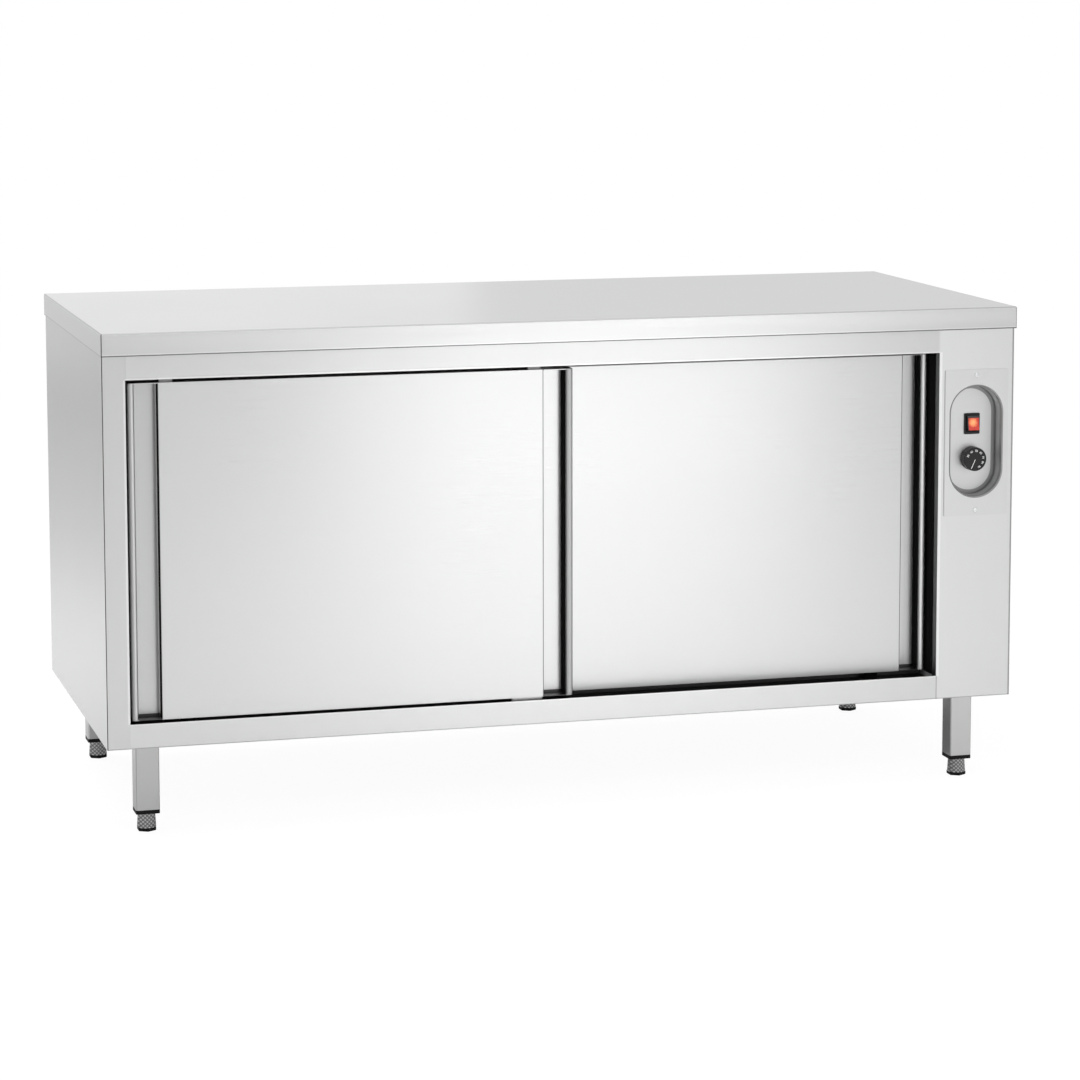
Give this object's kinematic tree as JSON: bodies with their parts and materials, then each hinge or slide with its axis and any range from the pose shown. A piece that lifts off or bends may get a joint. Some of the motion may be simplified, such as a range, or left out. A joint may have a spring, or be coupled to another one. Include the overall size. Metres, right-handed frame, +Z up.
{
  "type": "plate warmer cabinet",
  "caption": "Long stainless heated cabinet on square legs with a flat worktop, sliding doors with full-height grips and a recessed switch and thermostat on the right.",
  "frame": {"origin": "on the floor, under the middle of the cabinet's plan", "axes": "+X to the right along the length, +Y to the back, +Z up"},
  "size_m": [1.6, 0.7, 0.843],
  "materials": {
    "stainless_panel": "satin brushed stainless sheet, grain along the length",
    "stainless_door": "fine satin stainless sheet",
    "stainless_inner": "plain stainless sheet",
    "galvanised_steel": "galvanised sheet",
    "mineral_wool": "mineral wool board with a foil face",
    "door_foam": "foam board",
    "control_plate_metal": "pressed matt stainless plate",
    "zinc_plated_steel": "bright zinc plate",
    "zinc_foot": "knurled zinc-plated steel",
    "black_plastic": "moulded black plastic",
    "white_nylon": "white nylon",
    "lit_red_plastic": "clear red plastic, lit from inside",
    "heater_steel": "heat-tinted steel tube",
    "terminal_plastic": "off-white moulded plastic"
  },
  "bodies": {
    "cabinet": {"worktop": "stainless_panel", "worktop_stiffeners": "galvanised_steel", "left_side_panel": "stainless_panel", "right_side_panel": "stainless_panel", "back_panel": "stainless_panel", "base_panel": "stainless_panel", "top_front_rail": "stainless_panel", "bottom_front_rail": "stainless_panel", "control_column_front": "stainless_panel", "inner_left_wall": "stainless_inner", "inner_right_wall": "stainless_inner", "inner_back_wall": "stainless_inner", "inner_ceiling": "stainless_inner", "inner_floor": "stainless_inner", "left_insulation": "mineral_wool", "back_insulation": "mineral_wool", "ceiling_insulation": "mineral_wool", "floor_insulation": "mineral_wool", "shelf": "stainless_inner", "shelf_uprights": "stainless_inner", "shelf_brackets": "stainless_inner", "upper_track": "galvanised_steel", "control_plate": "control_plate_metal", "plate_screws": "zinc_plated_steel", "switch_housing": "black_plastic", "thermostat_body": "zinc_plated_steel", "fan_housing": "galvanised_steel", "heater_element": "heater_steel", "heater_cover": "stainless_inner", "terminal_block": "terminal_plastic", "cable_gland": "black_plastic", "legs": "stainless_panel", "leg_caps": "black_plastic"},
    "left_door": {"left_door_front_skin": "stainless_door", "left_door_back_skin": "stainless_door", "left_door_insulation": "door_foam", "left_door_hangers": "zinc_plated_steel", "left_door_guides": "black_plastic"},
    "left_door_left_roller": {"left_door_left_roller": "white_nylon"},
    "left_door_right_roller": {"left_door_right_roller": "white_nylon"},
    "right_door": {"right_door_front_skin": "stainless_door", "right_door_back_skin": "stainless_door", "right_door_insulation": "door_foam", "right_door_hangers": "zinc_plated_steel", "right_door_guides": "black_plastic"},
    "right_door_left_roller": {"right_door_left_roller": "white_nylon"},
    "right_door_right_roller": {"right_door_right_roller": "white_nylon"},
    "switch_rocker": {"switch_rocker": "lit_red_plastic"},
    "control_knob": {"control_knob": "black_plastic", "thermostat_shaft": "zinc_plated_steel"},
    "fan_impeller": {"fan_impeller": "black_plastic"},
    "foot_front_left": {"foot_sleeve_front_left": "zinc_foot", "foot_base_front_left": "black_plastic"},
    "foot_front_right": {"foot_sleeve_front_right": "zinc_foot", "foot_base_front_right": "black_plastic"},
    "foot_back_left": {"foot_sleeve_back_left": "zinc_foot", "foot_base_back_left": "black_plastic"},
    "foot_back_right": {"foot_sleeve_back_right": "zinc_foot", "foot_base_back_right": "black_plastic"}
  },
  "joints": [
    {"name": "left_door_slide", "type": "slide", "parent": "cabinet", "child": "left_door", "axis": [1, 0, 0], "range_m": [0, 0.6545]},
    {"name": "right_door_slide", "type": "slide", "parent": "cabinet", "child": "right_door", "axis": [1, 0, 0], "range_m": [-0.6545, 0]},
    {"name": "left_door_left_roller_turn", "type": "hinge", "parent": "left_door", "child": "left_door_left_roller", "pos_m": [-0.6905, -0.314, 0.7833], "axis": [0, 1, 0], "range_deg": [0, 3130]},
    {"name": "left_door_right_roller_turn", "type": "hinge", "parent": "left_door", "child": "left_door_right_roller", "pos_m": [-0.065, -0.314, 0.7833], "axis": [0, 1, 0], "range_deg": [0, 3130]},
    {"name": "right_door_left_roller_turn", "type": "hinge", "parent": "right_door", "child": "right_door_left_roller", "pos_m": [-0.036, -0.281, 0.7833], "axis": [0, 1, 0], "range_deg": [-3130, 0]},
    {"name": "right_door_right_roller_turn", "type": "hinge", "parent": "right_door", "child": "right_door_right_roller", "pos_m": [0.5895, -0.281, 0.7833], "axis": [0, 1, 0], "range_deg": [-3130, 0]},
    {"name": "rocker_tilt", "type": "hinge", "parent": "cabinet", "child": "switch_rocker", "pos_m": [0.73275, -0.3082, 0.635], "axis": [1, 0, 0], "range_deg": [0, 16]},
    {"name": "knob_turn", "type": "hinge", "parent": "cabinet", "child": "control_knob", "pos_m": [0.73275, -0.322, 0.574], "axis": [0, 1, 0], "range_deg": [0, 300]},
    {"name": "fan_spin", "type": "hinge", "parent": "cabinet", "child": "fan_impeller", "pos_m": [0.675, 0.024, 0.325], "axis": [1, 0, 0], "continuous": true},
    {"name": "foot_front_left_height", "type": "slide", "parent": "cabinet", "child": "foot_front_left", "axis": [0, 0, 1], "range_m": [-0.025, 0]},
    {"name": "foot_front_right_height", "type": "slide", "parent": "cabinet", "child": "foot_front_right", "axis": [0, 0, 1], "range_m": [-0.025, 0]},
    {"name": "foot_back_left_height", "type": "slide", "parent": "cabinet", "child": "foot_back_left", "axis": [0, 0, 1], "range_m": [-0.025, 0]},
    {"name": "foot_back_right_height", "type": "slide", "parent": "cabinet", "child": "foot_back_right", "axis": [0, 0, 1], "range_m": [-0.025, 0]}
  ],
  "couplings": [
    {"joint": "left_door_left_roller_turn", "follows": "left_door_slide", "rad_per_m": 83.333},
    {"joint": "left_door_right_roller_turn", "follows": "left_door_slide", "rad_per_m": 83.333},
    {"joint": "right_door_left_roller_turn", "follows": "right_door_slide", "rad_per_m": 83.333},
    {"joint": "right_door_right_roller_turn", "follows": "right_door_slide", "rad_per_m": 83.333}
  ]
}
